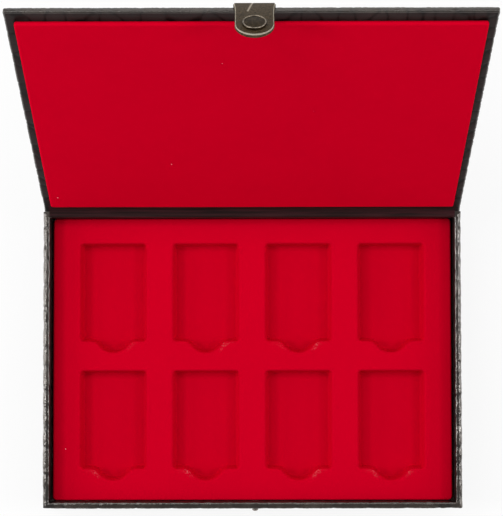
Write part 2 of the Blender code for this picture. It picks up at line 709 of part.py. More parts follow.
def build():
    leatherette = material("leatherette", (0.021, 0.016, 0.014), 0.38)
    strap_leatherette = material("strap_leatherette", (0.085, 0.066, 0.042), 0.5)
    fibreboard = material("fibreboard", (0.33, 0.31, 0.28), 0.9)
    card = material("card", (0.4, 0.38, 0.34), 0.9)
    paper = material("black_paper", (0.02, 0.02, 0.02), 0.85)
    flock = material("red_flock", (0.53, 0.002, 0.012), 0.95)
    velvet = material("red_velvet", (0.46, 0.002, 0.012), 0.95)
    bronze = material("antique_bronze", (0.16, 0.11, 0.06), 0.35, 1)
    nickel = material("bright_nickel", (0.55, 0.53, 0.5), 0.3, 1)
    underside_sheet(paper)
    bottom_board(fibreboard)
    wall_boards(fibreboard)
    base_cover(leatherette)
    hinge_strip_base_leaf(leatherette)
    flocked_tray(flock)
    snap_stud(nickel)
    stud_rivet(nickel)
    lid_board(fibreboard)
    lid_cover(leatherette)
    hinge_strip_lid_leaf(leatherette)
    lining_card(card)
    lining_velvet(velvet)
    strap_anchor(strap_leatherette)
    strap_ply("strap_outer_ply", strap_leatherette, 0)
    strap_ply("strap_inner_ply", strap_leatherette, STRAP_PLY + SEAT)
    snap_cap(bronze)
    snap_socket(nickel)


def report_joints():
    """Prints where the two joints lie at rest, and how far the strap swings in."""
    bpy.context.view_layer.update()
    for empty in (LID_EMPTY, STRAP_EMPTY):
        print(empty.name, [round(value, 6) for value in empty.matrix_world.translation])
    print("strap swing in, degrees", round(math.degrees(snapped_swing()), 2))
    print("stud height", round(stud_height(), 5))


clear_scene()
LID_EMPTY = pivot_empty("lid_pivot", HINGE, turn=-LID_OPEN)
STRAP_EMPTY = pivot_empty("strap_pivot", STRAP_PIVOT, LID_EMPTY)
build()
report_joints()
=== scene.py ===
"""Open lighter display case: embossed leatherette, red flocked tray, velvet lining and snap strap."""

import json
import math
import random

import bmesh
import bpy
import numpy as np
from mathutils import Matrix, Vector
from mathutils import noise as noise_field


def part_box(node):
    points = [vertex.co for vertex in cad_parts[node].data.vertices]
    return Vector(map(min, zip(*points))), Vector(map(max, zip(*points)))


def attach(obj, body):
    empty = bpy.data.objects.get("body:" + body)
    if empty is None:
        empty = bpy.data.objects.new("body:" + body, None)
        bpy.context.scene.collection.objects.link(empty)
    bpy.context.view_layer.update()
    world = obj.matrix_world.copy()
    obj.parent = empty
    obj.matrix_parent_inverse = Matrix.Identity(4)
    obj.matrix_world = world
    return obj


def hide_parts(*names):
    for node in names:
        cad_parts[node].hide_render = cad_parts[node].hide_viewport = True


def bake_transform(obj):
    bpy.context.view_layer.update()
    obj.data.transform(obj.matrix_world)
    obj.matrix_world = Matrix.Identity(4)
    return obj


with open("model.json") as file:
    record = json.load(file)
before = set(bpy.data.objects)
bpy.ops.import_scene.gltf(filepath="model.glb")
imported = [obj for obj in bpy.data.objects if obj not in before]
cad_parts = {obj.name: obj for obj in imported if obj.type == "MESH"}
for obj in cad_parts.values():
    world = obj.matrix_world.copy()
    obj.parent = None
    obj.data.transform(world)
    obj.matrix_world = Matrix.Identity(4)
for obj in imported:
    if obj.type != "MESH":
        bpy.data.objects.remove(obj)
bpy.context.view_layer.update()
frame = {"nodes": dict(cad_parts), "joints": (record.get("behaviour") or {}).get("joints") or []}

MM = 0.001

# Case
HALF_WIDTH = 127 * MM
HALF_DEPTH = 90 * MM
BASE_HEIGHT = 34 * MM
WALL = 3.6 * MM
SKIN = 0.5 * MM
WRAP_CORNER = 1 * MM
WELD = SKIN / 50
RIM_CRINKLE = 0.22 * MM
RIM_CRINKLE_SIZE = 1.2 * MM
CRINKLE_CEILING = 0.35
RIM_START = 1.2 * MM
RIM_END = 1.6 * MM
RUBBED_DEPTH = 1.5 * MM
TURNED_IN_DEPTH = 1 * MM
COVER_BOTTOM = 0.7 * MM
TURN_UNDER = 14 * MM
TURN_END = 22.8 * MM
STRIP_HALF = 123.2 * MM
STRIP_OVERLAP = 1 * MM
STRIP_LIFT = 0.08 * MM
STRIP_FLAT_END = 1.9 * MM
STRIP_VALLEY = (0.2 * MM, 0.3 * MM)
STRIP_COUNT = 160
RIPPLE_HEIGHT = 0.3 * MM
RIPPLE_REACH = 3.5 * MM
RIPPLE_LEAN = (-0.85, 0.5)
WAVE_PHASE = 6

# (inset, drop below the rim) in millimetres, from the outer flank over the top to the inner flank
RIM_FLANK = ((0.05, 0.9), (0.22, 0.68), (0.55, 0.5), (1.1, 0.27), (1.6, 0.08), (1.9, 0))
RIM_INNER = ((2.7, 0), (3.05, 0.08), (3.4, 0.21), (3.75, 0.36), (3.92, 0.6), (3.85, 1))

# Tray
TRAY_TOP = 23.6 * MM
TRAY_BOTTOM = 4 * MM
TRAY_SHELL = 1 * MM
TRAY_HALF_WIDTH = 122.1 * MM
TRAY_HALF_DEPTH = 86.15 * MM
TRAY_CORNER = 2.2 * MM
TRAY_EDGE = 1.1 * MM
COLUMN_PITCH = 56.8 * MM
ROW_PITCH = 78 * MM
ROWS_BEHIND_MIDDLE = 1.9 * MM
COLUMNS = 4
ROWS = 2
POCKET_WIDTH = 40.3 * MM
POCKET_LENGTH = 59.6 * MM
POCKET_DEPTH = 9 * MM
POCKET_CORNER = 2 * MM
TIGHT_CORNER = 0.4 * MM
POCKET_LIP = 1.4 * MM
POCKET_FILLET = 1.1 * MM
POCKET_DRAFT = math.radians(9)
NOTCH_DEPTH = 7 * MM
NOTCH_RADIUS = 11.5 * MM
NOTCH_SHOULDER = 6 * MM
DUST_PLACE = 11 * MM
DUST_REACH = 3.5 * MM
DUST_RANGE = (-0.5, 0.6)
ROUND_STEPS = 6

# Lid, drawn closed
LID_BOTTOM = 34.3 * MM
LID_TOP = 37.7 * MM
LID_HALF_WIDTH = 126.3 * MM
LID_FRONT = -89.6 * MM
LID_TURN_IN = 13 * MM
LINING_SIDE = 4.9 * MM
LINING_FRONT = 6.7 * MM
LINING_HINGE = 7.2 * MM
LINING_FOOT = 34 * MM
LINING_FACE = 31.7 * MM
LINING_CORNER = 1.6 * MM
VELVET_EDGE = 1.3 * MM
VELVET = 0.8 * MM
VELVET_SPACING = 3 * MM
VELVET_WAVE = 0.12 * MM

# Strap
STRAP_MIDDLE = 1.6 * MM
STRAP_HALF = 9.9 * MM
STRAP_STACK = 1.3 * MM
STRAP_TOP = 39.3 * MM
ANCHOR_LENGTH = 34 * MM
FOLD_CLEARANCE = 0.3 * MM
BEND_RADIUS = 2 * MM
BEND_ANGLE = math.radians(63)
CURL_LENGTH = 32.9 * MM
CURL_ANGLE = math.radians(16)
CAP_FROM_TIP = 10.5 * MM
PLY_STEP = 0.3 * MM
PLY_TIP_STEP = 1 * MM
CUT_EDGE = 0.28 * MM
STRAP_FLARE = 0.9 * MM
STRAP_FLARE_LENGTH = 7 * MM
CREASE_WIDTH = 0.6 * MM
CREASE_DEPTH = 0.15 * MM
CREASE_LENGTH = 12 * MM
CREASE_START = -0.6 * MM
CREASE_SLANT = 0.24
TIP_STEPS = 14

# Embossing
SPACING = 0.75 * MM
GROOVE_WIDTH = 1.5 * MM
GROOVE_DEPTH = 0.2 * MM
DOME_WIDTH = 7 * MM
DOME_DEPTH = 0.1 * MM
WRINKLE_SIZE = 1.9 * MM
WRINKLE_DEPTH = 0.07 * MM
WRINKLE_WIDTH = 0.3
HINGE_FADE = 4 * MM
RIM_FADE = 2.5 * MM
EDGE_START = 2 * MM
EDGE_FADE = 4 * MM
EDGE_STRETCH = 0.75
EDGE_CRINKLE = 0.8

# Scales, as distances between their centres
WALL_LINES = (6 * MM, 24 * MM)
LEFT_WALL_PITCH = 13 * MM
RIGHT_WALL_PITCH = 10 * MM
LONG_WALL_PITCH = 21 * MM
WALL_JITTER = 0.16
SIZE_SPREAD = (0.85, 1.15)
BELLY_SCALE = (17 * MM, 27 * MM)
SCALE_LOSS = (8 * MM, 16 * MM)
SHRINK_START = 10 * MM
SHRINK_LENGTH = 110 * MM
LID_LEFT_PITCH = 27 * MM
LID_RIGHT_PITCH = 10 * MM
LID_FRONT_PITCH = 24 * MM

# Signs of a rectangle's corners, from the front right one to the front left one
CORNERS = ((1, -1), (1, 1), (-1, 1), (-1, -1))

# Painted shade: the embossed grooves are coloured darker than the leatherette's face, standing in for the
# shade that falls in them.
PAINTED_GROOVE_SHADE = (0.003, 0.002, 0.002)
DUST_COLOUR = (0.78, 0.3, 0.33)

# Photograph's view
CAMERA_PLACE = (1.24 * MM, 28.66 * MM, 939.2 * MM)
CAMERA_TURN = (0.03635, 0.00181, -0.00169)
CAMERA_LENS = 106.69
SENSOR = 36
LIGHT_DISTANCE = 1.35
FLOOR_HALF = 2.5
FLOOR_GAP = 0.1 * MM
SOFTBOXES = {
    "left_lamp": (270, 48, 0.25, 4.2),
    "left_low_softbox": (270, 20, 0.6, 6.4),
    "left_rear_softbox": (315, 58, 0.5, 3.2),
    "right_lamp": (90, 48, 0.25, 3.1),
    "right_low_softbox": (90, 20, 0.6, 4.4),
    "right_rear_softbox": (45, 58, 0.5, 1.6),
    "rear_softbox": (0, 62, 0.4, 1.3),
    "rear_low_softbox": (0, 26, 0.6, 0.7),
}

LID_HINGE = next(joint for joint in frame["joints"] if joint["name"] == "lid_hinge")
HINGE = Vector(LID_HINGE["pos_m"])
LID_OPEN = math.radians(LID_HINGE["range_deg"][1])
LID_REST = Matrix.Translation(HINGE) @ Matrix.Rotation(-LID_OPEN, 4, "X") @ Matrix.Translation(-HINGE)


# Meshes

def new_object(name, data):
    made = bpy.data.objects.new(name, data)
    bpy.context.scene.collection.objects.link(made)
    return made


def add_piece(name, mesh, materials, body, replaces=(), place=None, sharp=50):
    """Makes the object, gives it its finishes and lets it ride.

    place turns a mesh that is drawn with the lid closed, or lying flat.
    """
    mesh.name = name
    for finish in materials:
        mesh.materials.append(finish)
    if place:
        mesh.transform(place)
    mesh.shade_smooth()
    mesh.set_sharp_from_angle(angle=math.radians(sharp))
    piece = new_object(name, mesh)
    if body:
        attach(piece, body)
    if replaces:
        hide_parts(*replaces)
    return piece


def mesh_from(bm):
    """Welds the points that meet, turns the faces outwards and keeps the mesh."""
    bmesh.ops.remove_doubles(bm, verts=bm.verts, dist=WELD)
    bmesh.ops.recalc_face_normals(bm, faces=bm.faces)
    mesh = bpy.data.meshes.new("sheet")
    bm.to_mesh(mesh)
    bm.free()
    return mesh


def thicken(piece, thickness):
    """Gives a sheet its thickness, inwards from the face that is drawn."""
    shell = piece.modifiers.new("thickness", "SOLIDIFY")
    shell.thickness = thickness
    shell.offset = -1
    shell.use_even_offset = True


def flatten_shading(piece):
    """Lets the large faces decide the normals, so that they look flat up to their rounded edges."""
    weighted = piece.modifiers.new("flat_faces", "WEIGHTED_NORMAL")
    weighted.keep_sharp = True


def arc(centre, radius, start, end, steps):
    points = []
    for step in range(steps + 1):
        angle = start + (end - start) * step / steps
        points.append((centre[0] + radius * math.cos(angle), centre[1] + radius * math.sin(angle)))
    return points


def quarter(steps):
    """Angles from 0 to a quarter turn."""
    return [math.pi / 2 * step / steps for step in range(steps + 1)]


def add_bands(bm, rows, closed=True):
    """Faces between each row of points and the next, and between the rows' ends if they are closed."""
    bands = []
    for above, below in zip(rows, rows[1:]):
        faces = []
        for index in range(len(above) if closed else len(above) - 1):
            after = (index + 1) % len(above)
            faces.append(bm.faces.new((above[index], above[after], below[after], below[index])))
        bands.append(faces)
    return bands


def fine_path(corners, spacing):
    """The path's corners with points between them at about this spacing."""
    points = [corners[0]]
    for start, end in zip(corners, corners[1:]):
        steps = max(1, round(math.dist(start, end) / spacing))
        for step in range(1, steps + 1):
            share = step / steps
            points.append(tuple(a + (b - a) * share for a, b in zip(start, end)))
    return points


def round_fold(start, corner, end, steps=4):
    """Quarter-round between two points, bulging towards the corner."""
    return [
        tuple(s + (c - s) * math.sin(angle) + (e - c) * (1 - math.cos(angle))
              for s, c, e in zip(start, corner, end))
        for angle in quarter(steps)
    ]


def rectangle_stations(half_x, half_y, middle_y, radius, spacing, corner_steps=3):
    """(point on the rectangle drawn in by radius, outward direction), all the way round."""
    inner_x, inner_y = half_x - radius, half_y - radius
    count_x, count_y = round(2 * inner_x / spacing), round(2 * inner_y / spacing)
    normals = ((1, 0), (0, 1), (-1, 0), (0, -1))
    stations = []
    for side, (sign_x, sign_y) in enumerate(CORNERS):
        corner = (sign_x * inner_x, middle_y + sign_y * inner_y)
        for step in range(corner_steps + 1):
            angle = math.pi / 2 * (side - 1 + step / corner_steps)
            stations.append((corner, (math.cos(angle), math.sin(angle))))
        following = CORNERS[(side + 1) % len(CORNERS)]
        goal = (following[0] * inner_x, middle_y + following[1] * inner_y)
        count = count_y if side % 2 == 0 else count_x
        for step in range(1, count):
            share = step / count
            point = tuple(a + (b - a) * share for a, b in zip(corner, goal))
            stations.append((point, normals[side]))
    return stations


def ring_point(station, inset, half_x, half_y, middle_y, radius):
    """Where the station's profile passes this inset; inside the corner radius the corners are mitred."""
    point, normal = station
    if inset <= radius:
        return tuple(p + n * (radius - inset) for p, n in zip(point, normal))
    limit_x, limit_y = half_x - inset, half_y - inset
    x = min(max(point[0], -limit_x), limit_x)
    y = min(max(point[1] - middle_y, -limit_y), limit_y) + middle_y
    return x, y


def swept(stations, profile_of, skip, size):
    """Carries each station's profile of (inset, height) round the stations."""
    bm = bmesh.new()
    rows = []
    for station in stations:
        profile = profile_of(station)
        rows.append([
            bm.verts.new((*ring_point(station, inset, *size), height)) for inset, height in profile
        ])
    for index, row in enumerate(rows):
        after = (index + 1) % len(rows)
        for level in range(len(row) - 1):
            if skip(stations[index], level) or skip(stations[after], level):
                continue
            bm.faces.new((row[level], rows[after][level], rows[after][level + 1], row[level + 1]))
    return bm


def add_plate(bm, size, spacing, height):
    """Fills the middle of a swept rectangle with a grid, at the inset where the corner radius ends."""
    half_x, half_y, middle_y, radius = size
    inner_x, inner_y = half_x - radius, half_y - radius
    count_x, count_y = round(2 * inner_x / spacing), round(2 * inner_y / spacing)
    rows = []
    for j in range(count_y + 1):
        y = middle_y - inner_y + 2 * inner_y * j / count_y
        rows.append([
            bm.verts.new((-inner_x + 2 * inner_x * i / count_x, y, height)) for i in range(count_x + 1)
        ])
    add_bands(bm, rows, closed=False)


# Crocodile embossing

def wall_seeds(along, across, pitch, jitter, chooser):
    """Jittered scale centres along a run, in staggered lines across it."""
    seeds = []
    low, high = along
    for line, place in enumerate(across):
        position = low + pitch * (0.3 if line % 2 else 0.8)
        while position < high:
            seeds.append((position + chooser.uniform(-jitter, jitter) * pitch,
                          place + chooser.uniform(-jitter, jitter) * pitch / 2))
            position += pitch * chooser.uniform(*SIZE_SPREAD)
    return seeds


def base_seeds():
    """Scale centres on the four outer walls."""
    chooser = random.Random(11)
    seeds = []
    for side, pitch in ((-1, LEFT_WALL_PITCH), (1, RIGHT_WALL_PITCH)):
        for y, z in wall_seeds((-HALF_DEPTH, HALF_DEPTH), WALL_LINES, pitch, WALL_JITTER, chooser):
            seeds.append((side * HALF_WIDTH, y, z))
        run = (-HALF_WIDTH, HALF_WIDTH)
        for x, z in wall_seeds(run, WALL_LINES, LONG_WALL_PITCH, WALL_JITTER, chooser):
            seeds.append((x, side * HALF_DEPTH, z))
    return np.array(seeds)


def lid_seeds():
    """Large belly scales on the left of the lid, which shrink to small flank scales on the right."""
    chooser = random.Random(5)
    seeds = []
    x = -LID_HALF_WIDTH + 7 * MM
    while x < LID_HALF_WIDTH + 4 * MM:
        share = min(max((x - SHRINK_START) / SHRINK_LENGTH, 0), 1)
        width, length = (size - loss * share for size, loss in zip(BELLY_SCALE, SCALE_LOSS))
        for y, across in wall_seeds((LID_FRONT - length / 2, HALF_DEPTH), (x,), length, 0.1, chooser):
            seeds.append((across, y, LID_TOP))
        x += width
    for side, length in ((-1, LID_LEFT_PITCH), (1, LID_RIGHT_PITCH)):
        lines = (side * (LID_HALF_WIDTH - 1 * MM), side * (LID_HALF_WIDTH - 9 * MM))
        for y, across in wall_seeds((LID_FRONT, HALF_DEPTH), lines, length, 0.12, chooser):
            seeds.append((across, y, LID_BOTTOM))
    line = (LID_FRONT + 4 * MM,)
    for x, across in wall_seeds((-LID_HALF_WIDTH, LID_HALF_WIDTH), line, LID_FRONT_PITCH, 0.15, chooser):
        seeds.append((x, across, LID_BOTTOM))
    return np.array(seeds)


def smooth_share(values):
    """0 to 1 with soft ends, for values from 0 to 1."""
    share = np.clip(values, 0, 1)
    return share * share * (3 - 2 * share)


def scale_edges(points, seeds):
    """How far each point is into its scale from the nearest border between two scales."""
    nearest = np.full(len(points), np.inf)
    second = np.full(len(points), np.inf)
    for seed in seeds:
        distance = (np.abs(points - seed) ** 4).sum(1) ** 0.25
        second = np.minimum(second, np.maximum(nearest, distance))
        nearest = np.minimum(nearest, distance)
    return second - nearest


def emboss(mesh, seeds, creases):
    """Sinks grooves and fine wrinkles below the sheet's face and keeps the grooves for the material, which
    paints shade into them.
    """
    count = len(mesh.vertices)
    points, normals = np.empty(count * 3), np.empty(count * 3)
    mesh.vertices.foreach_get("co", points)
    mesh.vertices.foreach_get("normal", normals)
    points, normals = points.reshape(-1, 3), normals.reshape(-1, 3)
    inside = scale_edges(points, seeds)
    height = smooth_share(inside / GROOVE_WIDTH)
    dome = smooth_share(inside / DOME_WIDTH)
    wrinkles = np.array([noise_field.noise(Vector(point) / WRINKLE_SIZE) for point in points])
    hinge = np.hypot(points[:, 1] - HINGE.y, points[:, 2] - HINGE.z)
    fade = np.clip(hinge / HINGE_FADE, 0, 1)
    depth = GROOVE_DEPTH * (1 - height) + DOME_DEPTH * (1 - dome)
    depth = depth + WRINKLE_DEPTH * np.clip(WRINKLE_WIDTH - np.abs(wrinkles), 0, 1) / WRINKLE_WIDTH
    stretched, raised = creases(points)
    depth = depth * fade * (1 - stretched) - raised
    points -= normals * depth[:, None]
    mesh.vertices.foreach_set("co", points.ravel())
    kept = mesh.attributes.new("scale_height", "FLOAT", "POINT")
    kept.data.foreach_set("value", height.astype(np.float32))
    mesh.update()


def crinkles(points, near):
    """Height of the short creases where the sheet is bent round an edge."""
    waves = np.array([noise_field.noise(Vector(point) / RIM_CRINKLE_SIZE) for point in points])
    return RIM_CRINKLE * near * np.minimum(waves, CRINKLE_CEILING)


def rim_creases(points):
    """(how far the embossing is stretched flat, height of the creases) at the top of the walls."""
    near = smooth_share(1 - (BASE_HEIGHT - points[:, 2]) / RIM_FADE)
    free = smooth_share((HINGE.y - points[:, 1]) / HINGE_FADE)
    return 0 * near, crinkles(points, near * free)


def lid_creases(points):
    """The same along the lid's front edge, where the embossing is stretched almost flat."""
    near = smooth_share(1 - (points[:, 1] - LID_FRONT - EDGE_START) / EDGE_FADE)
    return EDGE_STRETCH * near, crinkles(points, EDGE_CRINKLE * near)


# Wrapped boards

def at_spine(station):
    """On the rear edge, where the leatherette runs on between base and lid."""
    return station[1][1] > 0.3


def at_hinge_strip(station):
    """On the part of the rear edge that the hinge strip covers."""
    point, normal = station
    return normal == (0, 1) and abs(point[0]) < STRIP_HALF - STRIP_OVERLAP


def rim_section():
    """(inset, height) over the top of a wall: the flank that leans out, and the one that leans in."""
    flank, inner = (
        [(inset * MM, BASE_HEIGHT - drop * MM) for inset, drop in part] for part in (RIM_FLANK, RIM_INNER)
    )
    return flank, inner + [(WALL, BASE_HEIGHT - RIM_END)]


def share_finishes(mesh, turned_in, rubbed):
    """Gives the turned-in faces the second finish and the rubbed edges the third, by their centres."""
    for face in mesh.polygons:
        if turned_in(face.center):
            face.material_index = 1
        elif rubbed(face.center):
            face.material_index = 2


def wrap_sheet(size, outside, fold, inside):
    """The sheet round a board, folded over its edge; at the spine it runs straight on to the hinge line."""
    spine = [(0, height) for height in np.linspace(outside[-1][1], HINGE.z, len(fold) + 1)[1:]]

    def profile_of(station):
        return outside + (spine if at_spine(station) else fold) + inside

    def skip(station, level):
        return at_hinge_strip(station) and level >= len(outside) + len(fold) - 1

    return swept(rectangle_stations(*size, SPACING), profile_of, skip, size)


def base_wrap(finishes):
    """Turned under the bottom, up the walls, over the rim and down inside to the tray."""
    radius = WRAP_CORNER
    size = (HALF_WIDTH, HALF_DEPTH, 0, radius)
    fold, inside = rim_section()
    outside = [(TURN_UNDER, COVER_BOTTOM), (radius, COVER_BOTTOM)]
    outside += round_fold((radius, COVER_BOTTOM), (0, COVER_BOTTOM), (0, COVER_BOTTOM + radius))[1:]
    outside = fine_path(outside + [(0, BASE_HEIGHT - RIM_START)], SPACING)
    inside += fine_path([inside[-1], (WALL, TURN_END)], SPACING)[1:]
    mesh = mesh_from(wrap_sheet(size, outside, fold, inside))
    emboss(mesh, base_seeds(), rim_creases)
    reach_x, reach_y = HALF_WIDTH - WALL + SKIN, HALF_DEPTH - WALL + SKIN
    below = BASE_HEIGHT - TURNED_IN_DEPTH
    share_finishes(
        mesh,
        lambda spot: abs(spot.x) < reach_x and abs(spot.y) < reach_y and spot.z < below,
        lambda spot: spot.z > BASE_HEIGHT - RUBBED_DEPTH,
    )
    wrap = add_piece("base_wrap", mesh, finishes, "base", ["base_cover"])
    thicken(wrap, SKIN)


def lid_wrap(finishes):
    """Over the lid board, round its edges and turned in below; drawn with the lid closed."""
    radius = WRAP_CORNER
    half_y, middle = (HALF_DEPTH - LID_FRONT) / 2, (HALF_DEPTH + LID_FRONT) / 2
    size = (LID_HALF_WIDTH, half_y, middle, radius)
    outside = round_fold((radius, LID_TOP), (0, LID_TOP), (0, LID_TOP - radius))
    outside += fine_path([(0, LID_TOP - radius), (0, LID_BOTTOM + radius)], SPACING)[1:]
    fold = round_fold((0, LID_BOTTOM + radius), (0, LID_BOTTOM), (radius, LID_BOTTOM))[1:]
    inside = fine_path([(radius, LID_BOTTOM), (LID_TURN_IN, LID_BOTTOM)], SPACING)[1:]
    bm = wrap_sheet(size, outside, fold, inside)
    add_plate(bm, size, SPACING, LID_TOP)
    mesh = mesh_from(bm)
    emboss(mesh, lid_seeds(), lid_creases)
    side, front = LID_HALF_WIDTH - radius, LID_FRONT + radius
    share_finishes(
        mesh,
        lambda spot: spot.z < LID_BOTTOM + 2 * SKIN and abs(spot.x) < side and spot.y > front,
        lambda spot: spot.z < LID_TOP - SKIN and (abs(spot.x) > side or spot.y < front),
    )
    wrap = add_piece("lid_wrap", mesh, finishes, "lid", ["lid_cover"], LID_REST)
    thicken(wrap, SKIN)


def closed_to_rest(y, z):
    """A point of the lid's section, drawn closed, as it lies with the lid open."""
    turned = LID_REST @ Vector((0, y, z))
    return turned.y, turned.z


def strip_path():
    """(y, z) from inside the rear wall, over the rim, softly through the fold and up under the lining."""
    wall_y = HALF_DEPTH - WALL - STRIP_LIFT
    radius = WRAP_CORNER
    rim = BASE_HEIGHT + STRIP_LIFT
    rim_end = (HALF_DEPTH - STRIP_FLAT_END, rim)
    lid_start = closed_to_rest(HALF_DEPTH - STRIP_FLAT_END, LID_BOTTOM - STRIP_LIFT)
    lid_end = closed_to_rest(HALF_DEPTH - LID_TURN_IN, LID_BOTTOM - STRIP_LIFT)
    path = fine_path([(wall_y, TURN_END), (wall_y, BASE_HEIGHT - radius)], SPACING)
    path += round_fold((wall_y, BASE_HEIGHT - radius), (wall_y, rim), (wall_y + radius, rim))[1:]
    path += [rim_end]
    valley = (HALF_DEPTH - STRIP_VALLEY[0], BASE_HEIGHT + STRIP_VALLEY[1])
    for step in range(1, 8):
        share = step / 8
        path.append(tuple(
            (1 - share) ** 2 * a + 2 * share * (1 - share) * b + share ** 2 * c
            for a, b, c in zip(rim_end, valley, lid_start)
        ))
    path += fine_path([lid_start, lid_end], SPACING)
    return path, rim_end, lid_start


def hinge_strip(leatherette):
    """One strip along the fold, with slight ripples where it bends."""
    path, rim_end, lid_start = strip_path()
    section = path + list(reversed(offset_path(path, SKIN)))
    chooser = random.Random(3)
    waves = [(chooser.uniform(25, 160), chooser.uniform(0, WAVE_PHASE)) for _ in range(5)]
    bm = bmesh.new()
    rows = []
    for step in range(STRIP_COUNT + 1):
        x = STRIP_HALF * (2 * step / STRIP_COUNT - 1)
        wave = sum(math.sin(x * rate + phase) for rate, phase in waves) / len(waves)
        row = []
        for y, z in section:
            near = max(0, 1 - math.hypot(y - HINGE.y, z - HINGE.z) / RIPPLE_REACH)
            lift = RIPPLE_HEIGHT * wave * near
            row.append(bm.verts.new((x, y + lift * RIPPLE_LEAN[0], z + lift * RIPPLE_LEAN[1])))
        rows.append(row)
    add_bands(bm, rows)
    bm.faces.new(rows[0])
    bm.faces.new(reversed(rows[-1]))
    strip = add_piece("hinge_strip", mesh_from(bm), [leatherette], None,
                      ["hinge_strip_base_leaf", "hinge_strip_lid_leaf"])
    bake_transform(strip)


def offset_path(path, thickness):
    """The path moved sideways by a thickness, to its right as seen along it."""
    moved = []
    for index, (y, z) in enumerate(path):
        before, after = path[max(index - 1, 0)], path[min(index + 1, len(path) - 1)]
        along = Vector((after[0] - before[0], after[1] - before[1])).normalized()
        moved.append((y + along.y * thickness, z - along.x * thickness))
    return moved


# Tray

def pocket_middle(column, row):
    across = (column - (COLUMNS - 1) / 2) * COLUMN_PITCH
    return across, ROWS_BEHIND_MIDDLE + (row - (ROWS - 1) / 2) * ROW_PITCH


def pocket_outline(column, row, inset):
    """The pocket's outline, drawn in by inset, with the S-curved finger notch in its front edge."""
    middle_x, middle_y = pocket_middle(column, row)
    front = middle_y - POCKET_LENGTH / 2
    notch_y = front - NOTCH_DEPTH + NOTCH_RADIUS
    shoulder_y = front - NOTCH_SHOULDER
    shoulder_x = math.sqrt((NOTCH_RADIUS + NOTCH_SHOULDER) ** 2 - (notch_y - shoulder_y) ** 2)
    lean = math.atan2(notch_y - shoulder_y, shoulder_x)
    points = rounded_rectangle(POCKET_WIDTH / 2 - inset, POCKET_LENGTH / 2 - inset,
                               max(POCKET_CORNER - inset, TIGHT_CORNER), (middle_x, middle_y))
    shoulder = NOTCH_SHOULDER + inset
    left = arc((middle_x - shoulder_x, shoulder_y), shoulder, math.pi / 2, lean, 10)
    notch = arc((middle_x, notch_y), NOTCH_RADIUS - inset, math.pi + lean, 2 * math.pi - lean, 24)
    right = arc((middle_x + shoulder_x, shoulder_y), shoulder, math.pi - lean, math.pi / 2, 10)
    return points + left[:-1] + notch + right[1:]


def pocket_levels():
    """(inset, height) from the tray's top, round the lip, down the drafted wall and into the floor."""
    floor = TRAY_TOP - POCKET_DEPTH
    inset = (POCKET_DEPTH - POCKET_LIP - POCKET_FILLET) * math.tan(POCKET_DRAFT)
    down, along = [], []
    for angle in quarter(ROUND_STEPS):
        rise, fall = 1 - math.sin(angle), 1 - math.cos(angle)
        down.append((-POCKET_LIP * rise, TRAY_TOP - POCKET_LIP * fall))
        along.append((inset + POCKET_FILLET * fall, floor + POCKET_FILLET * rise))
    return down + along


def rounded_rectangle(half_x, half_y, radius, middle=(0, 0)):
    """Outline of a rectangle with round corners."""
    points = []
    for turn, (sign_x, sign_y) in enumerate(CORNERS):
        centre = (middle[0] + sign_x * (half_x - radius), middle[1] + sign_y * (half_y - radius))
        start = (turn - 1) * math.pi / 2
        points += arc(centre, radius, start, start + math.pi / 2, ROUND_STEPS)
    return points


def add_loop(bm, outline, height):
    return [bm.verts.new((x, y, height)) for x, y in outline]


def dust_share(x, y, column, row):
    """How much dust fingers have left on the lip, on both sides of the notch."""
    middle_x, middle_y = pocket_middle(column, row)
    from_middle = x - middle_x
    if y > middle_y - POCKET_LENGTH / 2 + POCKET_LIP:
        return 0
    place = column * ROWS + row + (100 if from_middle > 0 else 0)
    amount = random.Random(place).uniform(*DUST_RANGE)
    return max(0, amount) * max(0, 1 - abs(abs(from_middle) - DUST_PLACE) / DUST_REACH)


def tray_edge():
    """Loops of the tray's outer edge, as (outline, height), from its flat top down to its foot."""
    loops = []
    for angle in quarter(ROUND_STEPS):
        inset = TRAY_EDGE * (1 - math.sin(angle))
        outline = rounded_rectangle(TRAY_HALF_WIDTH - inset, TRAY_HALF_DEPTH - inset, TRAY_CORNER - inset)
        loops.append((outline, TRAY_TOP - TRAY_EDGE * (1 - math.cos(angle))))
    foot = rounded_rectangle(TRAY_HALF_WIDTH, TRAY_HALF_DEPTH, TRAY_CORNER)
    return loops + [(foot, TRAY_BOTTOM)]


def add_pocket(bm, layer, column, row):
    """Sinks one pocket below the tray's top and returns the edges of the hole that it needs there."""
    loops = [add_loop(bm, pocket_outline(column, row, -POCKET_LIP - DUST_REACH / 2), TRAY_TOP)]
    loops += [add_loop(bm, pocket_outline(column, row, inset), z) for inset, z in pocket_levels()]
    for vert in [vert for loop in loops[1:5] for vert in loop]:
        vert[layer] = dust_share(vert.co.x, vert.co.y, column, row)
    hole = loops[0]
    edges = [bm.edges.new((hole[index - 1], hole[index])) for index in range(len(hole))]
    add_bands(bm, loops)
    bm.faces.new(loops[-1])
    return edges


def tray(flock):
    """One thin flocked shell: its edge, its pockets and the flat top between them."""
    bm = bmesh.new()
    layer = bm.verts.layers.float.new("dust")
    rings = [add_loop(bm, outline, height) for outline, height in tray_edge()]
    add_bands(bm, rings)
    around = [edge for vert in rings[0] for edge in vert.link_edges if edge.is_boundary]
    edges = list(dict.fromkeys(around))
    for column in range(COLUMNS):
        for row in range(ROWS):
            edges += add_pocket(bm, layer, column, row)
    bmesh.ops.triangle_fill(bm, use_beauty=True, use_dissolve=False, edges=edges)
    piece = add_piece("tray", mesh_from(bm), [flock], "base", ["flocked_tray"])
    thicken(piece, TRAY_SHELL)
    flatten_shading(piece)


# Lid lining

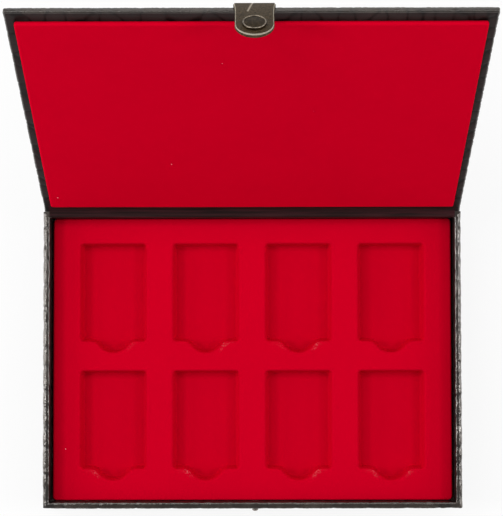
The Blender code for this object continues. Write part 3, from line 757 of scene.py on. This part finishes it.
def lining(velvet):
    """Velvet drawn over the lining card: a faintly uneven face and soft edges."""
    half_x = LID_HALF_WIDTH - LINING_SIDE
    rear, front = HALF_DEPTH - LINING_HINGE, LID_FRONT + LINING_FRONT
    half_y, middle = (rear - front) / 2, (rear + front) / 2
    size = (half_x, half_y, middle, LINING_CORNER)
    edge, face = VELVET_EDGE, LINING_FACE
    profile = [(LINING_CORNER, face)] + round_fold((edge, face), (0, face), (0, face + edge), 6)
    profile += [(0, LINING_FOOT)]
    stations = rectangle_stations(*size, VELVET_SPACING, 6)
    bm = swept(stations, lambda station: profile, lambda station, level: False, size)
    add_plate(bm, size, VELVET_SPACING, LINING_FACE)
    mesh = mesh_from(bm)
    chooser = random.Random(8)
    spans = ((-60, 60), (-60, 60), (0, WAVE_PHASE))
    waves = [[chooser.uniform(*span) for span in spans] for _ in range(8)]
    for vertex in mesh.vertices:
        if vertex.co.z < LINING_FACE + SKIN:
            wave = sum(math.sin(a * vertex.co.x + b * vertex.co.y + c) for a, b, c in waves) / len(waves)
            vertex.co.z += VELVET_WAVE * (1 + wave)
    piece = add_piece("velvet_lining", mesh, [velvet], "lid", ["lining_velvet"], LID_REST)
    thicken(piece, VELVET)


# Strap and press stud

def strap_station(along):
    """(out, up, turned angle) of the strap's outer face, from the lid's front edge and the fold."""
    if along <= 0:
        return along, 0, 0
    bend = BEND_RADIUS * BEND_ANGLE
    if along <= bend:
        angle = along / BEND_RADIUS
        return FOLD_CLEARANCE + BEND_RADIUS * math.sin(angle), -BEND_RADIUS * (1 - math.cos(angle)), angle
    out, up, _ = strap_station(bend)
    radius = CURL_LENGTH / CURL_ANGLE
    angle = BEND_ANGLE + (along - bend) / radius
    out += radius * (math.sin(angle) - math.sin(BEND_ANGLE))
    up -= radius * (math.cos(BEND_ANGLE) - math.cos(angle))
    return out, up, angle


def strap_point(along, depth=0, across=0):
    """A point by its length along the strap, depth below the outer face and way across, drawn closed."""
    out, up, angle = strap_station(along)
    y, z = LID_FRONT - out + depth * math.sin(angle), STRAP_TOP + up - depth * math.cos(angle)
    return Vector((STRAP_MIDDLE + across, y, z))


def strap_end():
    return BEND_RADIUS * BEND_ANGLE + CURL_LENGTH


def strap_stations():
    """(length from the fold to the station's centre, how far the outline has turned), from root to tip."""
    near, far = STRAP_HALF - ANCHOR_LENGTH, strap_end() - STRAP_HALF
    turns = [math.pi / 2 * step / TIP_STEPS for step in range(1, TIP_STEPS + 1)]
    stations = [(near, -turn) for turn in reversed(turns)]
    stations += [(place, 0) for (place,) in fine_path([(near,), (0,), (far,)], SPACING)]
    return stations + [(far, turn) for turn in turns]


def edge_profile():
    """(inset, depth) down the strap's side: the outer ply's slanted cut and the inner ply's step."""
    ply = STRAP_STACK / 2
    soft = ply / 5
    return [
        (PLY_STEP + CUT_EDGE, 0), (PLY_STEP + CUT_EDGE - soft / 2, soft / 2),
        (PLY_STEP, ply * 0.92), (PLY_STEP - soft, ply),
        (soft, ply), (0, ply + soft), (0, STRAP_STACK - soft), (soft, STRAP_STACK),
    ]


def strap_row(bm, station, layer, across=56):
    """One cross-section: the face between the cut edges, both sides and the back."""
    centre, turn = station
    edge = edge_profile()
    shares = [2 * index / across - 1 for index in range(1, across)]

    def place(inset, share, depth):
        reach = STRAP_HALF - inset
        reach += STRAP_FLARE * math.exp(-(centre / STRAP_FLARE_LENGTH) ** 2) * math.cos(turn)
        drawn_in = PLY_TIP_STEP * min(inset / PLY_STEP, 1.2) * max(math.sin(turn), 0)
        return share * reach * math.cos(turn), centre + reach * math.sin(turn) - drawn_in, depth

    spots = [place(edge[0][0], share, 0) for share in shares]
    spots += [place(inset, 1, depth) for inset, depth in edge]
    spots += [place(edge[-1][0], share, STRAP_STACK) for share in reversed(shares)]
    spots += [place(inset, -1, depth) for inset, depth in reversed(edge)]
    row = []
    for index, (x, along, depth) in enumerate(spots):
        line = crease_share(x, along) if index < len(shares) else 0
        row.append(bm.verts.new(strap_point(along, depth + CREASE_DEPTH * line, x)))
        row[-1][layer] = line
    return row


def strap(strap_leatherette, raw_edge):
    """Two plies glued back to back, the outer one cut a little narrower, both round at the root and tip."""
    bm = bmesh.new()
    layer = bm.verts.layers.float.new("crease")
    rows = [strap_row(bm, station, layer) for station in strap_stations()]
    count, sides = len(rows[0]), len(edge_profile())
    right = (count - 2 * sides) // 2
    cut_faces = {right, right + 1, count - 2, count - 3}
    for band in add_bands(bm, rows):
        for index, face in enumerate(band):
            face.material_index = int(index in cut_faces)
    mesh = mesh_from(bm)
    piece = add_piece("strap", mesh, [strap_leatherette, raw_edge], None,
                      ["strap_anchor", "strap_outer_ply", "strap_inner_ply"], LID_REST, 60)
    fold = LID_REST @ strap_point(-SKIN)
    free = LID_REST @ strap_point(3 * SKIN)
    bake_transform(piece)


def crease_share(x, along):
    """1 on the pressed line that runs slantwise from the bend, fading to its sides."""
    if not 0 < along < CREASE_LENGTH:
        return 0
    line_x = CREASE_START - CREASE_SLANT * along
    return max(0, 1 - abs(x - line_x) / CREASE_WIDTH)


def snap_place():
    """Where the cap and socket sit on the strap, their axis along its outward direction."""
    along = strap_end() - CAP_FROM_TIP
    _, _, angle = strap_station(along)
    return LID_REST @ Matrix.Translation(strap_point(along)) @ Matrix.Rotation(angle, 4, "X")


def turned(profile, steps=72):
    """Revolves a closed profile of (radius, height), in millimetres, about Z."""
    bm = bmesh.new()
    rings = []
    for radius, height in profile:
        if radius == 0:
            rings.append([bm.verts.new((0, 0, height * MM))])
            continue
        circle = arc((0, 0), radius * MM, 0, 2 * math.pi, steps)[:-1]
        rings.append(add_loop(bm, circle, height * MM))
    pairs = list(zip(rings, rings[1:]))
    if profile[0][0] != 0:
        pairs.append((rings[-1], rings[0]))
    for low, high in pairs:
        for step in range(steps):
            after = (step + 1) % steps
            corners = [low[step % len(low)], low[after % len(low)],
                       high[after % len(high)], high[step % len(high)]]
            bm.faces.new(list(dict.fromkeys(corners)))
    return mesh_from(bm)


def snap_cap(bronze, rubbed_bronze):
    """Dark flank, a thin rim rubbed brighter, a groove inside it and a low dark dome."""
    flank, tube, rim, dome, groove = 6.1, 0.35, 1.05, 5.1, 0.1
    profile = [(0, 0.05), (5.8, 0.05), (flank, 0.3), (flank, 0.6)]
    profile += arc((flank - 0.15 - tube, rim), tube, 0, math.pi * 0.92, 16)
    profile += [(dome + groove, rim)]
    profile += [(dome * share, rim + 0.3 * (1 - share ** 2)) for share in np.linspace(1, 0, 13)]
    mesh = turned(profile)
    for face in mesh.polygons:
        from_axis = math.hypot(face.center.x, face.center.y)
        face.material_index = int(face.center.z > rim * MM and from_axis > (dome + 0.15) * MM)
    add_piece("snap_cap_dome", mesh, [bronze, rubbed_bronze], "strap",
              ["snap_cap"], snap_place())


def snap_socket(nickel):
    """The spring socket on the strap's back: a flange, a raised ring with a rolled mouth, and its hole."""
    back = -STRAP_STACK / MM - 0.05
    flange, mouth = back - 0.55, back - 3.65
    profile = [(1.2, back), (1.2, back - 0.6), (2.5, back - 0.6), (2.5, mouth + 0.9), (2.15, mouth + 0.6)]
    profile += arc((2.85, mouth + 0.45), 0.45, math.pi, math.pi * 1.6, 8)
    profile += [(3.6, flange - 0.5), (3.75, flange)]
    profile += arc((4.7, back - 0.28), 0.28, -math.pi / 2, math.pi / 2, 8)
    add_piece("snap_socket_ring", turned(profile), [nickel], "strap",
              ["snap_socket"], snap_place())


def snap_stud(nickel):
    """The stud on the front wall: a flange, a neck and a round head."""
    low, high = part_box("snap_stud")
    middle = (STRAP_MIDDLE, -HALF_DEPTH, (low.z + high.z) / 2)
    place = Matrix.Translation(middle) @ Matrix.Rotation(math.pi / 2, 4, "X")
    reach = (-HALF_DEPTH - low.y) / MM
    head, neck, knob = 1.15, 1.7, 1.9
    profile = [(0, 0.05), (3.85, 0.05)] + arc((3.85, 0.3), 0.2, -math.pi / 2, math.pi / 2, 6)
    profile += [(2.2, 0.75), (1.55, 0.95), (1.5, reach - neck)]
    for angle in quarter(10)[:-1]:
        profile.append((knob * math.cos(angle), reach - head + head * math.sin(angle)))
    profile.append((0, reach))
    add_piece("snap_stud_head", turned(profile), [nickel], "base", ["snap_stud"], place)


# Materials

def new_group(name, inputs, outputs):
    """A node group; a default that is a colour makes a colour input, and Colour is a colour output."""
    tree = bpy.data.node_groups.new(name, "ShaderNodeTree")
    for socket, default in inputs.items():
        kind = "NodeSocketColor" if isinstance(default, tuple) else "NodeSocketFloat"
        tree.interface.new_socket(socket, in_out="INPUT", socket_type=kind).default_value = default
    for socket in outputs:
        kind = "NodeSocketColor" if socket == "Colour" else "NodeSocketFloat"
        tree.interface.new_socket(socket, in_out="OUTPUT", socket_type=kind)
    return tree, tree.nodes.new("NodeGroupInput").outputs, tree.nodes.new("NodeGroupOutput")


def feed(tree, node, values):
    """Fills input sockets, by name or index: links them from sockets and sets them to anything else."""
    for name, value in values.items():
        if isinstance(value, bpy.types.NodeSocket):
            tree.links.new(value, node.inputs[name])
        else:
            node.inputs[name].default_value = value


def add_node(tree, kind, values=None, **settings):
    """Adds a node with its settings and feeds it."""
    node = tree.nodes.new(kind)
    for name, value in settings.items():
        setattr(node, name, value)
    feed(tree, node, values or {})
    return node


def place_socket(tree):
    return add_node(tree, "ShaderNodeTexCoord").outputs["Object"]


def attribute(tree, name):
    return add_node(tree, "ShaderNodeAttribute", attribute_name=name).outputs["Fac"]


def noise(tree, scale, detail=2, roughness=0.5, distortion=0):
    return add_node(tree, "ShaderNodeTexNoise", {
        "Vector": place_socket(tree), "Scale": scale, "Detail": detail, "Roughness": roughness,
        "Distortion": distortion,
    }).outputs["Fac"]


def remap(tree, value, low, high, to_low=0, to_high=1):
    """Values from low to high, as values from to_low to to_high."""
    return add_node(tree, "ShaderNodeMapRange", {
        "Value": value, "From Min": low, "From Max": high, "To Min": to_low, "To Max": to_high,
    }).outputs["Result"]


def maths(tree, operation, first, second):
    return add_node(tree, "ShaderNodeMath", {0: first, 1: second}, operation=operation).outputs[0]


def blend_colour(tree, share, first, second):
    """The first colour, or the second one where share is 1."""
    first, second = (
        (*colour, 1) if isinstance(colour, tuple) else colour for colour in (first, second)
    )
    node = add_node(tree, "ShaderNodeMix", {0: share, 6: first, 7: second}, data_type="RGBA")
    return node.outputs[2]


def pile_group():
    """Short upright fibres: nap that leans in patches, and a fine speckle of fibre ends."""
    tree, given, end = new_group(
        "short_pile",
        {"Colour": (0.5, 0, 0, 1), "Patch Strength": 0.06, "Speckle Strength": 0.1},
        ["Colour", "Height"],
    )
    patches, fibres, streaks = (
        maths(tree, "SUBTRACT", noise(tree, *values), 0.5)
        for values in ((22, 3, 0.55, 0.4), (2600, 2, 0.6), (160, 3, 0.6, 0.6))
    )
    uneven = maths(tree, "ADD", patches, maths(tree, "MULTIPLY", streaks, 0.4))
    patch = maths(tree, "MULTIPLY", uneven, given["Patch Strength"])
    speckle = maths(tree, "MULTIPLY", fibres, given["Speckle Strength"])
    level = maths(tree, "ADD", maths(tree, "ADD", patch, speckle), 1)
    scaled = add_node(
        tree, "ShaderNodeVectorMath", {0: given["Colour"], "Scale": level}, operation="SCALE")
    feed(tree, end, {"Colour": scaled.outputs["Vector"], "Height": fibres})
    return tree


def specks_group():
    """A few pale specks of dust and lint, in some of the cells of a Voronoi pattern."""
    tree, given, end = new_group("dust_specks", {"Scale": 90, "Radius": 0.05, "Share": 0.1}, ["Mask"])
    cells = add_node(tree, "ShaderNodeTexVoronoi", {
        "Vector": place_socket(tree), "Scale": given["Scale"],
    }, voronoi_dimensions="3D")
    split = add_node(tree, "ShaderNodeSeparateColor", {"Color": cells.outputs["Color"]})
    chosen = maths(tree, "LESS_THAN", split.outputs["Red"], given["Share"])
    radius = maths(tree, "MULTIPLY", given["Radius"], maths(tree, "ADD", split.outputs["Green"], 0.4))
    inside = maths(tree, "LESS_THAN", cells.outputs["Distance"], radius)
    feed(tree, end, {"Mask": maths(tree, "MULTIPLY", chosen, inside)})
    return tree


def grain_group():
    """Leather grain: fine pebbles over soft wrinkles."""
    tree, given, end = new_group(
        "leather_grain", {"Pebble Scale": 900, "Wrinkle Scale": 160}, ["Height", "Wear"])
    pebbles = add_node(tree, "ShaderNodeTexVoronoi", {
        "Vector": place_socket(tree), "Scale": given["Pebble Scale"],
    }, feature="SMOOTH_F1")
    wrinkles = noise(tree, given["Wrinkle Scale"], 4, 0.6, 1.2)
    folded = maths(tree, "ABSOLUTE", maths(tree, "SUBTRACT", wrinkles, 0.5), 0)
    hollows = maths(tree, "MULTIPLY", pebbles.outputs["Distance"], -0.35)
    height = maths(tree, "ADD", hollows, maths(tree, "MULTIPLY", folded, 2.2))
    feed(tree, end, {"Height": height, "Wear": noise(tree, 45, 4, 0.65)})
    return tree


def new_material(name, colour):
    made = bpy.data.materials.new(name)
    made.use_nodes = True
    made.diffuse_color = (*colour, 1)
    return made, made.node_tree, made.node_tree.nodes["Principled BSDF"]


def use_group(tree, group, values):
    """A node that shows the group, and its outputs."""
    return add_node(tree, "ShaderNodeGroup", values, node_tree=group).outputs


def bump(tree, height, strength, distance):
    """The face's direction, unsettled by this height."""
    values = {"Height": height, "Strength": strength, "Distance": distance}
    return add_node(tree, "ShaderNodeBump", values).outputs["Normal"]


def leatherette_material(name, groups, colour, worn, roughness, gloss):
    """Embossed leatherette: grooves coloured dark as painted shade, worn high places and a satin face."""
    made, tree, shader = new_material(name, colour)
    grain = use_group(tree, groups["grain"], {})
    wear = remap(tree, grain["Wear"], 0.42, 0.72)
    face = blend_colour(tree, wear, colour, worn)
    feed(tree, shader, {
        # Painted shade: scale_height colours the grooves darker than the face.
        "Base Color": blend_colour(tree, attribute(tree, "scale_height"), PAINTED_GROOVE_SHADE, face),
        "Roughness": remap(tree, grain["Wear"], 0.3, 0.7, roughness - 0.06, roughness + 0.1),
        "Specular IOR Level": gloss,
        "Specular Tint": (1, 0.95, 0.9, 1),
        "Normal": bump(tree, grain["Height"], 0.3, 0.0003),
    })
    return made


def hinge_material():
    """Thin, dull black leatherette, coloured dark red-brown as a painted red reflection of the red lining,
    with streaks along the folds.
    """
    made, tree, shader = new_material("hinge_leatherette_painted_red_reflection", (0.018, 0.006, 0.006))
    along = add_node(tree, "ShaderNodeMapping", {"Vector": place_socket(tree), "Scale": (30, 700, 700)})
    values = {"Vector": along.outputs["Vector"], "Scale": 1, "Detail": 3}
    streaks = add_node(tree, "ShaderNodeTexNoise", values).outputs["Fac"]
    share = remap(tree, streaks, 0.4, 0.65)
    feed(tree, shader, {
        # Painted reflection: both streak colours are tinted red for the glow of the red lining.
        "Base Color": blend_colour(tree, share, (0.013, 0.005, 0.005), (0.036, 0.009, 0.011)),
        "Roughness": 0.5,
        "Specular IOR Level": 0.1,
        "Normal": bump(tree, streaks, 0.6, 0.0004),
    })
    return made


def strap_material(groups):
    """Olive brown leatherette, mottled, with a pale line where it has been creased."""
    made, tree, shader = new_material("olive_strap_leatherette", (0.07, 0.052, 0.032))
    grain = use_group(tree, groups["grain"], {"Pebble Scale": 1500, "Wrinkle Scale": 420})
    mottle = remap(tree, noise(tree, 900, 4, 0.75), 0.35, 0.65)
    face = blend_colour(tree, mottle, (0.012, 0.008, 0.003), (0.085, 0.057, 0.028))
    feed(tree, shader, {
        "Base Color": blend_colour(tree, attribute(tree, "crease"), face, (0.5, 0.43, 0.34)),
        "Roughness": 0.5,
        "Specular IOR Level": 0.14,
        "Normal": bump(tree, grain["Height"], 0.6, 0.0003),
    })
    return made


def pile_material(name, groups, colour, patch, speckle, sheen, dusty):
    """Flock or velvet: matt, with a fibre sheen at grazing angles and a little dust."""
    made, tree, shader = new_material(name, colour)
    pile = use_group(tree, groups["pile"], {
        "Colour": (*colour, 1), "Patch Strength": patch, "Speckle Strength": speckle,
    })
    specks = use_group(tree, groups["specks"], {"Scale": 60, "Radius": 0.02, "Share": dusty})
    clumps = remap(tree, noise(tree, 1300, 3, 0.7), 0.5, 0.68, 0, 0.9)
    rubbed = maths(tree, "MULTIPLY", attribute(tree, "dust"), clumps)
    mask = maths(tree, "MAXIMUM", specks["Mask"], rubbed)
    feed(tree, shader, {
        "Base Color": blend_colour(tree, mask, pile["Colour"], DUST_COLOUR),
        "Roughness": 1,
        "IOR": 1,
        "Specular IOR Level": 0,
        "Sheen Weight": sheen,
        "Sheen Roughness": 0.5,
        "Sheen Tint": (1, 0.001, 0.03, 1),
        "Normal": bump(tree, pile["Height"], 0.6, 0.0002),
    })
    return made


def metal_material(name, dark, bright, roughness):
    """Brushed metal: darker in the hollows of the wear pattern, brighter where it is rubbed."""
    made, tree, shader = new_material(name, dark)
    rubbed = remap(tree, noise(tree, 700, 4, 0.65), 0.4, 0.65)
    scratches = noise(tree, 1500, 3, 0.6)
    feed(tree, shader, {
        "Metallic": 1,
        "Base Color": blend_colour(tree, rubbed, dark, bright),
        "Roughness": remap(tree, scratches, 0.3, 0.7, roughness - 0.07, roughness + 0.1),
        "Normal": bump(tree, noise(tree, 1800, 2, 0.6), 0.15, 0.0001),
    })
    return made


def board_material(name, colour, scale):
    """Pressed board or paper: a dry mottled face."""
    made, tree, shader = new_material(name, colour)
    mottle = remap(tree, noise(tree, scale, 5, 0.7), 0.3, 0.7, 0.85, 1.12)
    face = add_node(tree, "ShaderNodeVectorMath", {0: colour, "Scale": mottle}, operation="SCALE")
    feed(tree, shader, {
        "Base Color": face.outputs["Vector"],
        "Roughness": 0.9,
        "Normal": bump(tree, noise(tree, scale * 2, 3, 0.6), 0.2, 0.0002),
    })
    return made


def leatherettes(groups):
    """(outer face, turned-in border, rubbed edge) of the black leatherette; the turned-in copy is coloured
    lighter and redder, a painted red glow from the lining and tray.
    """
    return [
        leatherette_material("black_crocodile_leatherette", groups,
                             (0.008, 0.006, 0.005), (0.02, 0.015, 0.012), 0.3, 0.45),
        # Painted red glow: this copy of the black leatherette is coloured lighter and redder than the outer
        # face.
        leatherette_material("turned_in_leatherette_painted_red_glow", groups,
                             (0.016, 0.01, 0.01), (0.028, 0.018, 0.018), 0.45, 0.16),
        leatherette_material("rubbed_crocodile_leatherette", groups,
                             (0.012, 0.008, 0.006), (0.03, 0.022, 0.017), 0.22, 1),
    ]


def build_materials():
    groups = {"pile": pile_group(), "specks": specks_group(), "grain": grain_group()}
    return {
        "leatherettes": leatherettes(groups),
        "hinge": hinge_material(),
        "strap": strap_material(groups),
        "raw_edge": board_material("pale_cut_edge", (0.34, 0.31, 0.245), 900),
        "flock": pile_material("red_flock", groups, (0.56, 0, 0.0145), 0.08, 0.16, 0.2, 0.2),
        "velvet": pile_material("red_velvet", groups, (0.62, 0, 0.0165), 0.1, 0.16, 0.25, 0.22),
        "bronze": metal_material("antique_bronze", (0.018, 0.012, 0.006), (0.055, 0.038, 0.02), 0.36),
        "rubbed_bronze": metal_material("rubbed_bronze", (0.15, 0.125, 0.095), (0.3, 0.255, 0.2), 0.3),
        "nickel": metal_material("dull_nickel", (0.24, 0.21, 0.19), (0.42, 0.38, 0.35), 0.32),
        "fibreboard": board_material("fibreboard", (0.33, 0.31, 0.28), 400),
        "card": board_material("grey_card", (0.4, 0.38, 0.34), 500),
        "paper": board_material("black_paper", (0.02, 0.02, 0.02), 300),
    }


CAD_FINISHES = {
    "fibreboard": ("bottom_board", "front_wall_board", "rear_wall_board", "left_wall_board",
                   "right_wall_board", "lid_board"),
    "card": ("lining_card",),
    "paper": ("underside_sheet",),
    "nickel": ("stud_rivet",),
}


def finish_cad_nodes(materials):
    """Gives the solids that stay in the scene their finishes."""
    for finish, nodes in CAD_FINISHES.items():
        for node in nodes:
            given = frame["nodes"][node].data.materials
            given.clear()
            given.append(materials[finish])


# Stage

def seen_directly(tree):
    """1 for rays from the camera and for those mirrored or bent by the object."""
    path = add_node(tree, "ShaderNodeLightPath")
    share = maths(tree, "MAXIMUM", path.outputs["Is Camera Ray"], path.outputs["Is Glossy Ray"])
    return maths(tree, "MAXIMUM", share, path.outputs["Is Transmission Ray"])


def white_world(level, overhead):
    """Even light of this level; seen directly or mirrored it is white all round and darker overhead."""
    world = bpy.data.worlds.new("studio")
    bpy.context.scene.world = world
    world.use_nodes = True
    tree = world.node_tree
    direction = add_node(tree, "ShaderNodeTexCoord").outputs["Generated"]
    height = add_node(tree, "ShaderNodeSeparateXYZ", {"Vector": direction}).outputs["Z"]
    sky = remap(tree, height, 0.25, 0.6, 1, overhead)
    extra = maths(tree, "MULTIPLY", seen_directly(tree), maths(tree, "SUBTRACT", sky, level))
    feed(tree, tree.nodes["Background"], {
        "Color": (1, 1, 1, 1), "Strength": maths(tree, "ADD", extra, level),
    })


def white_floor():
    """A pale floor that looks white to the camera and keeps a part of the object's shadow."""
    made, tree, shader = new_material("white_floor", (0.9, 0.9, 0.9))
    feed(tree, shader, {"Base Color": (0.9, 0.9, 0.9, 1), "Roughness": 0.8})
    glow = add_node(tree, "ShaderNodeEmission", {"Strength": 1})
    share = maths(tree, "MULTIPLY", seen_directly(tree), 0.85)
    mix = add_node(tree, "ShaderNodeMixShader", {0: share, 1: shader.outputs[0], 2: glow.outputs[0]})
    feed(tree, tree.nodes["Material Output"], {"Surface": mix.outputs[0]})
    mesh = bpy.data.meshes.new("floor")
    corners = [(x * FLOOR_HALF, y * FLOOR_HALF, -FLOOR_GAP) for x, y in CORNERS]
    mesh.from_pydata(corners, [], [(0, 1, 2, 3)])
    mesh.materials.append(made)
    new_object("floor", mesh)


def softbox(name, turn, rise, size, watts):
    """A square softbox aimed at the case.

    turn is its bearing, clockwise from the rear, and rise its height, both in degrees.
    """
    turn, rise = math.radians(turn), math.radians(rise)
    towards = Vector((math.sin(turn) * math.cos(rise), math.cos(turn) * math.cos(rise), math.sin(rise)))
    light = bpy.data.lights.new(name, "AREA")
    light.shape = "SQUARE"
    light.size = size
    light.energy = watts
    lamp = new_object(name, light)
    place = Matrix.Translation(towards * LIGHT_DISTANCE + Vector((0, 0, TRAY_TOP)))
    lamp.matrix_world = place @ towards.to_track_quat("Z", "Y").to_matrix().to_4x4()
    lamp.visible_camera = False


def studio():
    """Even light, with a lamp, a low softbox and a softbox set back on each side, and two behind."""
    white_world(level=0.33, overhead=0.3)
    white_floor()
    for name, (turn, rise, size, watts) in SOFTBOXES.items():
        softbox(name, turn, rise, size, watts)


def camera():
    """The camera that the photograph was taken with, as fitted to its straight edges."""
    data = bpy.data.cameras.new("photo_camera")
    data.sensor_width = SENSOR
    data.sensor_fit = "HORIZONTAL"
    data.lens = CAMERA_LENS
    data.clip_start = 0.01
    made = new_object("photo_camera", data)
    turn = Matrix.Identity(4)
    for angle, axis in zip(CAMERA_TURN, "XYZ"):
        turn = turn @ Matrix.Rotation(angle, 4, axis)
    made.matrix_world = Matrix.Translation(CAMERA_PLACE) @ turn
    bpy.context.scene.camera = made


def build():
    materials = build_materials()
    finish_cad_nodes(materials)
    base_wrap(materials["leatherettes"])
    lid_wrap(materials["leatherettes"])
    hinge_strip(materials["hinge"])
    tray(materials["flock"])
    lining(materials["velvet"])
    strap(materials["strap"], materials["raw_edge"])
    snap_cap(materials["bronze"], materials["rubbed_bronze"])
    snap_socket(materials["nickel"])
    snap_stud(materials["nickel"])


bpy.context.scene.view_settings.view_transform = "Standard"
camera()
studio()
build()
